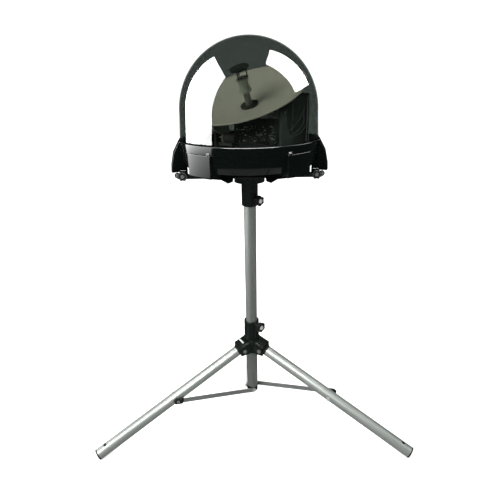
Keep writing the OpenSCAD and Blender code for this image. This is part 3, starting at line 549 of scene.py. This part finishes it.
# %% Lathe helpers
def fillet(outline, steps=4):
    """Rounds the corners of an outline of (radius, height, fillet) points, in millimetres."""
    made = []
    count = len(outline)
    for k, (r, z, size) in enumerate(outline):
        if size <= 0:
            made.append((r, z))
            continue
        here = Vector((r, z))
        back = (Vector(outline[k - 1][:2]) - here).normalized()
        on = (Vector(outline[(k + 1) % count][:2]) - here).normalized()
        for step in range(steps + 1):
            t = step / steps
            point = here + back * size * (1 - t) ** 2 + on * size * t ** 2
            made.append((point.x, point.y))
    return made


def lathe(shape, outline, segments=96, matrix=Matrix()):
    """Turns a closed outline, in millimetres, about Z into shape."""
    rings = []
    for r, z in outline:
        turns = [0.0] if r < 1e-6 else [2 * math.pi * i / segments for i in range(segments)]
        rings.append([shape.verts.new(matrix @ Vector((r * math.cos(a), r * math.sin(a), z)))
                      for a in turns])
    for k, ring in enumerate(rings):
        other = rings[(k + 1) % len(rings)]
        for i in range(segments):
            j = (i + 1) % segments
            corners = list(dict.fromkeys([ring[i % len(ring)], ring[j % len(ring)],
                                          other[j % len(other)], other[i % len(other)]]))
            if len(corners) > 2:
                shape.faces.new(corners)


def new_piece(name, shape, body, material, matrix=Matrix(), sharp=40):
    """A piece from a bmesh in millimetres, smooth but for edges sharper than sharp degrees."""
    bmesh.ops.recalc_face_normals(shape, faces=shape.faces)
    bmesh.ops.scale(shape, vec=(MM, MM, MM), verts=shape.verts)
    mesh = bpy.data.meshes.new(name)
    shape.to_mesh(mesh)
    shape.free()
    mesh.shade_smooth()
    mesh.set_sharp_from_angle(angle=math.radians(sharp))
    mesh.materials.append(material)
    obj = bpy.data.objects.new(name, mesh)
    bpy.context.scene.collection.objects.link(obj)
    obj.matrix_world = matrix
    bpy.context.view_layer.update()
    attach(obj, body)
    return obj


# %% [markdown]
# The dome is a drafted skirt under a half sphere, blown from sheet 2.5 mm thick, with a narrow flange
# that sits on the gasket. It could be a sphere with a bevel, but then the highlight would show facets,
# so it is turned with a ring every two degrees and a soft rounded flange edge.

# %% Dome
dome_low, dome_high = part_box("dome")
SKIRT = 65.0
WALL = 2.5
DRAFT = 3.5
dome_foot = dome_low.z / MM
dome_centre = dome_foot + SKIRT
dome_radius = dome_high.z / MM - dome_centre
flange_radius = dome_high.x / MM
FLANGE = 2.6
SKIRT_STEPS, SPHERE_STEPS = 8, 45
ROUND_STEPS = 180


def dome_curve(radius, low):
    """Points up the skirt and over the sphere to the pole."""
    points = [(radius + DRAFT * (1 - t / SKIRT_STEPS), low + (dome_centre - low) * t / SKIRT_STEPS)
              for t in range(SKIRT_STEPS)]
    for step in range(SPHERE_STEPS + 1):
        a = math.radians(90 / SPHERE_STEPS * step)
        across = radius * math.cos(a) if step < SPHERE_STEPS else 0.0
        points.append((across, dome_centre + radius * math.sin(a)))
    return points


outer = dome_curve(dome_radius, dome_foot + FLANGE)
inner = dome_curve(dome_radius - WALL, dome_foot)
rim = fillet([(flange_radius, dome_foot, 0.5), (flange_radius, dome_foot + FLANGE, 1.2),
              (dome_radius + DRAFT, dome_foot + FLANGE, 0.5)])
shape = bmesh.new()
lathe(shape, rim + outer[1:] + list(reversed(inner)), segments=ROUND_STEPS)
dome_piece = new_piece("smoked_dome", shape, "head", dome_finish, sharp=60)
dome_piece.data.materials.append(inner_finish)
# The inner wall and the flange take the finish without a mirror.
for face in dome_piece.data.polygons:
    spot = face.center / MM
    off_axis = math.hypot(spot.x, spot.y)
    reach = math.hypot(off_axis, max(spot.z - dome_centre, 0))
    slack = DRAFT * max(dome_centre - spot.z, 0) / SKIRT
    flange = off_axis > dome_radius + DRAFT + 0.3 or spot.z < dome_foot + 0.2
    face.material_index = 1 if flange or reach < dome_radius + slack - WALL / 2 else 0
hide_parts("dome")
print("dome radius", round(dome_radius, 2), "mm, flange", round(flange_radius, 2), "mm")

# %% [markdown]
# The base is one glossy moulding: a shallow turned tray, four blocks under the ring's screws, two side
# ears that sweep out over the plate, and two small lugs for the clamps. Blocks and ears are outlines
# swept through part of a turn, so their long edges stay true circles. A bevel then rounds every sharp
# edge, which is what draws the thin highlights on a black gloss part.

# %% Base moulding
rim_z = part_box("base_ring")[0].z / MM


def skin(shape, slices):
    """Joins closed loops of points one after another, and closes both ends."""
    for one, other in zip(slices, slices[1:]):
        for k in range(len(one)):
            j = (k + 1) % len(one)
            shape.faces.new((one[k], one[j], other[j], other[k]))
    shape.faces.new(slices[0])
    shape.faces.new(list(reversed(slices[-1])))


def sector(shape, outline, middle, span, steps=24):
    """Sweeps a closed outline of (radius, height) points through span degrees, and closes both ends."""
    slices = []
    for step in range(steps + 1):
        a = math.radians(middle + span * (step / steps - 0.5))
        slices.append([shape.verts.new((r * math.cos(a), r * math.sin(a), rim_z + z)) for r, z in outline])
    skin(shape, slices)


def block(shape, low, high):
    """An axis-aligned box between two corners."""
    middle = [(a + b) / 2 for a, b in zip(low, high)]
    size = [b - a for a, b in zip(low, high)]
    place = Matrix.Translation(middle) @ Matrix.Diagonal((*size, 1))
    bmesh.ops.create_cube(shape, size=1.0, matrix=place)


LOBE_SPAN, EAR_SPAN = 23, 36
SIDE_KNOB_X, LUG_HALF = 171, 8
LOBE = [(147, -55), (187.5, -55), (189.5, -52), (189.5, 0), (182, 0), (181, -28), (166, -45), (147, -45)]
EAR = [(181, -26), (169, -42), (169, -56), (210, -57), (209, -40), (202, -8), (186.5, 20), (184.7, 20),
       (184.7, 0), (181, 0)]
shape = bmesh.new()
tray = [(0, -46, 0), (168, -46, 1.5), (182, -28, 3), (183, 0, 0.8), (179, 0, 0.8), (178, -26, 3),
        (166, -43, 2), (0, -43, 0)]
lathe(shape, [(r, rim_z + z) for r, z in fillet(tray)], segments=ROUND_STEPS)
for middle in (-130, -50, 50, 130):
    sector(shape, LOBE, middle, LOBE_SPAN)
for middle in (0, 180):
    sector(shape, EAR, middle, EAR_SPAN, steps=36)
for x in (-SIDE_KNOB_X, SIDE_KNOB_X):
    block(shape, (x - LUG_HALF, -62, rim_z - 69.5), (x + LUG_HALF, -36, rim_z - 51.5))
moulding = soften(new_piece("base_moulding", shape, "head", gloss_black, sharp=32), 1.1)
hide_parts("base_tray")

shape = bmesh.new()
ring_outline = [(184.5, 0, 0.6), (184.5, 20, 1.6), (179.5, 20, 1.0), (179.5, 0, 0.4)]
lathe(shape, [(r, rim_z + z) for r, z in fillet(ring_outline, steps=5)], segments=ROUND_STEPS)
SCREW_CIRCLE = 185
SCREW_TURNS = [math.radians(-90 + a) for a in (-149, -31, 31, 149)]
for a in SCREW_TURNS:
    spot = Matrix.Translation((SCREW_CIRCLE * math.cos(a), SCREW_CIRCLE * math.sin(a), rim_z))
    lathe(shape, fillet([(0, 0, 0), (5, 0, 0.3), (5, 3, 0.8), (0, 3, 0)]), 32, spot)
ring_piece = new_piece("rim_ring", shape, "head", gloss_black, sharp=45)
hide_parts("base_ring")
print("base pieces", moulding.name, ring_piece.name)

# %% [markdown]
# Small fittings carry much of the sparkle. Each clamp knob has a plated screw end in its middle. The
# two knobs on the mast have a washer behind them, and the two at the sides a thin ring on their front.
# They could be bevelled cylinders, but a lathe outline gives each corner its own size. The hub carries
# a blank pale plate on one arm, where such a casting would have a label. The plate is left plain.

# %% Screw ends, washers and blank plate
CLAMP_TURN = math.radians(-48)
QUARTER = math.radians(90)
COLLAR_LENGTH = 66
ARM_SLOPE = math.radians(21.8)
for name, near, far, wide in (("hub", 36.4, 46.0, 7.0), ("sleeve", 34.6, 44.0, 6.0)):
    low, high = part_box(name + "_knob")
    height = (low.z + high.z) / 2 / MM
    aim = Matrix.Translation((0, 0, height)) @ Matrix.Rotation(CLAMP_TURN, 4, "Z")
    aim = aim @ Matrix.Rotation(QUARTER, 4, "Y")
    shape = bmesh.new()
    screw_end = [(0, far - 0.4, 0), (wide, far - 0.4, 0.1), (wide, far + 0.8, 0.6), (0, far + 1.4, 0)]
    lathe(shape, fillet(screw_end), 40, aim)
    washer = [(4, near, 0.2), (wide + 3, near, 0.3), (wide + 3, near + 1.0, 0.3), (4, near + 1.0, 0.2)]
    lathe(shape, fillet(washer), 40, aim)
    new_piece(name + "_screw_end", shape, name + "_clamp", bright_metal, sharp=40)

for side, name in ((-1, "left"), (1, "right")):
    low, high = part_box(name + "_knob")
    aim = Matrix.Translation((side * SIDE_KNOB_X, low.y / MM, (low.z + high.z) / 2 / MM))
    aim = aim @ Matrix.Rotation(QUARTER, 4, "X")
    shape = bmesh.new()
    lathe(shape, fillet([(0, -0.5, 0), (5, -0.5, 0.1), (5, 1.2, 0.6), (0, 1.6, 0)]), 40, aim)
    lathe(shape, fillet([(9.2, -0.5, 0.1), (10.2, -0.5, 0.1), (10.2, 0.7, 0.3), (9.2, 0.7, 0.3)]), 48, aim)
    new_piece(name + "_screw_end", shape, name + "_clamp", worn_steel, sharp=40)

label_white = satin_paint("blank_plate", (0.80, 0.81, 0.79), (0.72, 0.73, 0.71), 0.4, 900.0, 0.05)
hub_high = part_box("hub_body")[1].z / MM
on_arm = Matrix.Translation((36, -4, hub_high - COLLAR_LENGTH - 4.3))
arm = Matrix.Rotation(LEG_HEADINGS[0], 4, "Z") @ on_arm @ Matrix.Rotation(ARM_SLOPE, 4, "Y")
shape = bmesh.new()
block(shape, (-2.6, -13, -0.3), (2.6, 13, 0.6))
bmesh.ops.transform(shape, matrix=arm, verts=shape.verts)
soften(new_piece("blank_label", shape, "hub", label_white, sharp=30), 0.2, 2)
print("fittings on the clamps and hub")

# %% [markdown]
# The turntable carries the circuit board and its cables under the dish, and a thin shield behind it.
# They show only as dim shapes through the smoke, but without them the dome would look hollow. All of
# them ride the rotor, so they turn with it.

# %% Shield, cables and board clutter
REST_AZIMUTH = math.radians(-90 - 36)
turned_rest = Matrix.Rotation(REST_AZIMUTH, 4, "Z")
table_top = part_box("turntable")[1].z / MM
board_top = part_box("control_board")[1].z / MM
shape = bmesh.new()
SHIELD_TOP = 965.0
SHIELD_IN, SHIELD_OUT, LIP_IN = 158.0, 159.5, 155.5
BACK, SHIELD_SPAN = 180, 104
shield_low, shield_high = table_top + 6 - rim_z, SHIELD_TOP - rim_z
for r, low in ((SHIELD_IN, shield_low), (LIP_IN, shield_high - 2.0)):
    sector(shape, [(r, low), (SHIELD_OUT, low), (SHIELD_OUT, shield_high), (r, shield_high)], BACK,
           SHIELD_SPAN, steps=52)
rib = [(154.0, shield_low), (158.2, shield_low), (158.2, shield_high - 6), (156.5, shield_high - 6)]
for a in (-46, -16, 16, 46):
    sector(shape, rib, BACK + a, 1.4, steps=2)
gusset = [(112.0, shield_low - 6), (159.0, shield_low), (159.0, shield_low + 2), (112.0, shield_low - 3)]
for a in (-40, 0, 40):
    sector(shape, gusset, BACK + a, 8, steps=4)
shield = new_piece("rear_shield", shape, "rotor", inner_black, turned_rest, sharp=32)
soften(shield, 0.4, 2)


def cable(shape, points, radius, sides=10, steps=10):
    """A round cable through points, in millimetres, eased into a smooth line."""
    line = []
    padded = [points[0]] + list(points) + [points[-1]]
    for k in range(1, len(padded) - 2):
        a, b, c, d = (Vector(p) for p in padded[k - 1:k + 3])
        for step in range(steps):
            t = step / steps
            line.append(0.5 * (2 * b + (c - a) * t + (2 * a - 5 * b + 4 * c - d) * t * t
                               + (3 * b - a - 3 * c + d) * t ** 3))
    line.append(Vector(points[-1]))
    turns = [2 * math.pi * i / sides for i in range(sides)]
    spokes = [Vector((radius * math.cos(a), radius * math.sin(a), 0)) for a in turns]
    loops = []
    for k, point in enumerate(line):
        along = (line[min(k + 1, len(line) - 1)] - line[max(k - 1, 0)]).normalized()
        turn = along.to_track_quat("Z", "Y").to_matrix()
        loops.append([shape.verts.new(point + turn @ spoke) for spoke in spokes])
    skin(shape, loops)


LIFT = board_top + 4
RUNS = [
    [(-30, 40, LIFT), (-42, 62, 852), (-60, 80, 868), (-88, 84, 880), (-104, 96, 902), (-112, 104, 930)],
    [(-20, 52, LIFT), (-30, 74, 850), (-58, 92, 861), (-84, 100, 872), (-98, 108, 890), (-118, 98, 912)],
    [(6, 46, LIFT), (2, 72, 848), (-22, 92, 858), (-52, 104, 860), (-80, 112, 868), (-110, 106, 880)],
    [(-42, -30, LIFT), (-20, -44, 846), (-2, -36, 850), (8, -8, 844), (-2, 20, 838), (-22, 34, 832)],
    [(-34, 10, LIFT), (-10, 14, 844), (8, 30, 846), (10, 52, 842), (-6, 64, 836), (-34, 60, LIFT - 1)],
]
THICK_RUNS, THICK, THIN = 3, 1.5, 1.1
shape = bmesh.new()
for k, run in enumerate(RUNS):
    cable(shape, run, THICK if k < THICK_RUNS else THIN)
cables = new_piece("rotor_cables", shape, "rotor", rubber, turned_rest)

random.seed(11)
SUNK = 0.1
CHIP_STEP = 7
CANS = ((21.84, -48, 12), (-43.68, -30, 15), (-39.0, 38, 14), (23.4, 6, 11), (23.4, 30, 12), (-10, 22, 14))
WALL_CHIPS = 95
small = bmesh.new()
cans = bmesh.new()
for x in range(-46, 24, CHIP_STEP):
    for y in range(-52, 54, CHIP_STEP):
        if random.random() < 0.4:
            spot = (x + random.uniform(-1, 1), y + random.uniform(-1, 1))
            wide, deep = random.choice(((3.2, 1.6), (1.6, 3.2), (2.2, 2.2), (4.0, 2.6)))
            tall = random.uniform(1.0, 2.6)
            block(small, (*spot, board_top - SUNK), (spot[0] + wide, spot[1] + deep, board_top + tall))
for x, y, tall in CANS:
    can = Matrix.Translation((x, y, board_top - SUNK))
    lathe(cans, fillet([(0, 0, 0), (3.4, 0, 0.3), (3.4, tall, 0.7), (0, tall - 0.6, 0)]), 28, can)
for _ in range(WALL_CHIPS):
    turn = Matrix.Rotation(math.radians(random.uniform(186, 231)), 4, "Z")
    size = (random.uniform(1.5, 4.5), random.choice((2.0, 3.5, 5.5)), random.choice((1.6, 2.4, 4.5)))
    spot = Matrix.Translation((158.2 - size[0] / 2, 0, random.uniform(820, 874)))
    bmesh.ops.create_cube(small, size=1.0, matrix=turn @ spot @ Matrix.Diagonal((*size, 1)))
chips = soften(new_piece("board_chips", small, "rotor", bright_metal, turned_rest), 0.15, 1)
tops = new_piece("board_cans", cans, "rotor", bright_metal, turned_rest)
print("shield", shield.name, "cables", len(RUNS), "chips", len(chips.data.polygons) // 6)

# %% [markdown]
# Last come the lights. Cards are bright boards that only chosen glossy pieces mirror: one at each side
# for the dome, one above the front for the thin line along the ring, and dim ones for the base's
# underside, the tubes and the braces. One softbox for all of them could not be tuned piece by piece.
# Light linking also keeps the room's area lights off the dome, where each would show as a pale square.

# %% Lights
cards = []


def card(name, corners, strength, onto, fade=None):
    """A white board that only the pieces in onto mirror; fade is where its light starts and is full."""
    obj = plain_mesh(name, corners, [(0, 1, 2, 3)])
    made = bpy.data.materials.new(name)
    made.use_nodes = True
    tree = made.node_tree
    shader = tree.nodes["Principled BSDF"]
    shader.inputs["Base Color"].default_value = (0, 0, 0, 1)
    shader.inputs["Emission Color"].default_value = (1, 1, 1, 1)
    shader.inputs["Emission Strength"].default_value = strength
    if fade:
        height = node(tree, "SeparateXYZ", [(0, node(tree, "TexCoord").outputs["Object"])]).outputs["Z"]
        eased = node(tree, "Math", [(0, spread(tree, height, *fade)), (1, 1.6)], operation="POWER")
        tree.links.new(eased.outputs[0], shader.inputs["Emission Color"])
    obj.data.materials.append(made)
    obj.visible_camera = obj.visible_diffuse = obj.visible_shadow = obj.visible_transmission = False
    obj.visible_volume_scatter = False
    obj.light_linking.receiver_collection = join_collection(name + "_onto", onto)
    cards.append(obj)


base_gloss = [moulding, ring_piece]
card("left_card", [(-1.0, -0.62, 0.45), (-1.0, 0.36, 0.45), (-0.7, 0.46, 2.0), (-0.7, -0.66, 2.0)], 26.0,
     base_gloss + [dome_piece], (0.42, 0.90))
card("right_card", [(1.0, -0.20, 1.3), (1.0, 0.60, 1.3), (0.5, 0.44, 2.2), (0.5, -0.32, 2.2)], 26.0,
     base_gloss + [dome_piece])
card("brow_card", [(-1.2, -1.6, 1.6), (1.2, -1.6, 1.6), (1.2, -0.5, 2.4), (-1.2, -0.5, 2.4)], 130.0,
     base_gloss)
card("floor_card", [(-0.7, -1.3, 0.01), (0.7, -1.3, 0.01), (0.7, 0.1, 0.01), (-0.7, 0.1, 0.01)], 0.6,
     base_gloss + [nodes["mount_plate"]])
metals = [nodes["mast_tube"]] + [nodes[f"{part}_{i}"] for part in ("leg_tube", "brace") for i in (1, 2, 3)]
card("mast_card", [(-1.5, -1.6, 0.0), (-1.5, 0.9, 0.0), (-1.3, 0.9, 1.7), (-1.3, -1.6, 1.7)], 0.9, metals)
card("under_card", [(-1.5, -1.9, 0.004), (1.5, -1.9, 0.004), (1.5, 1.5, 0.004), (-1.5, 1.5, 0.004)], 0.06,
     metals)

inside = [nodes[n] for n in ("azimuth_gear", "centre_bearing", "turntable", "yoke_arms", "control_board",
                             "board_parts", "azimuth_motor", "azimuth_pinion", "elevation_motor",
                             "elevation_pinion", "dish_bracket", "elevation_gear", "dish", "feed_plate",
                             "feed_tube", "feed_cup", "subreflector")] + [shield, cables, chips, tops]
rooms = [area_light("key_left", (-2.2, -1.6, 2.4), (0, 0, 0.5), (1.6, 1.6), 75),
         area_light("fill_right", (2.4, -1.2, 1.9), (0, 0, 0.4), (1.0, 1.4), 6),
         area_light("top", (0.0, 0.3, 3.4), (0, 0, 0.3), (2.2, 2.2), 75)]
clear_of_dome = [o for o in scene.objects if o.type == "MESH" and o is not dome_piece and o not in cards]
for lamp in rooms:
    lamp.light_linking.receiver_collection = join_collection(lamp.name + "_onto", clear_of_dome)
dish_light = area_light("dish_light", (-1.25, -0.9, 1.95), (0, 0, 0.92), (1.2, 1.2), 245, (1.0, 0.89, 0.82))
dish_light.light_linking.receiver_collection = join_collection("inside_parts", inside)
leg_light = area_light("leg_light", (-0.1, -0.6, 0.8), (0, -0.05, 0.25), (0.3, 0.3), 2.2)
leg_light.light_linking.receiver_collection = join_collection("leg_tubes", [
    nodes[n] for n in ("leg_tube_1", "leg_tube_2", "leg_tube_3", "hub_body")])
board_light = area_light("board_light", (0.25, -1.3, 1.5), (0.02, 0, 0.86), (0.5, 0.5), 420)
board_light.light_linking.receiver_collection = join_collection("board_and_cables", [
    shield, cables, chips, tops, nodes["control_board"], nodes["board_parts"], nodes["turntable"],
    nodes["yoke_arms"]])

# %% [markdown]
# The last cell updates the view layer once more. Every new piece follows the frame.

# %% Finish
scene.view_layers[0].update()
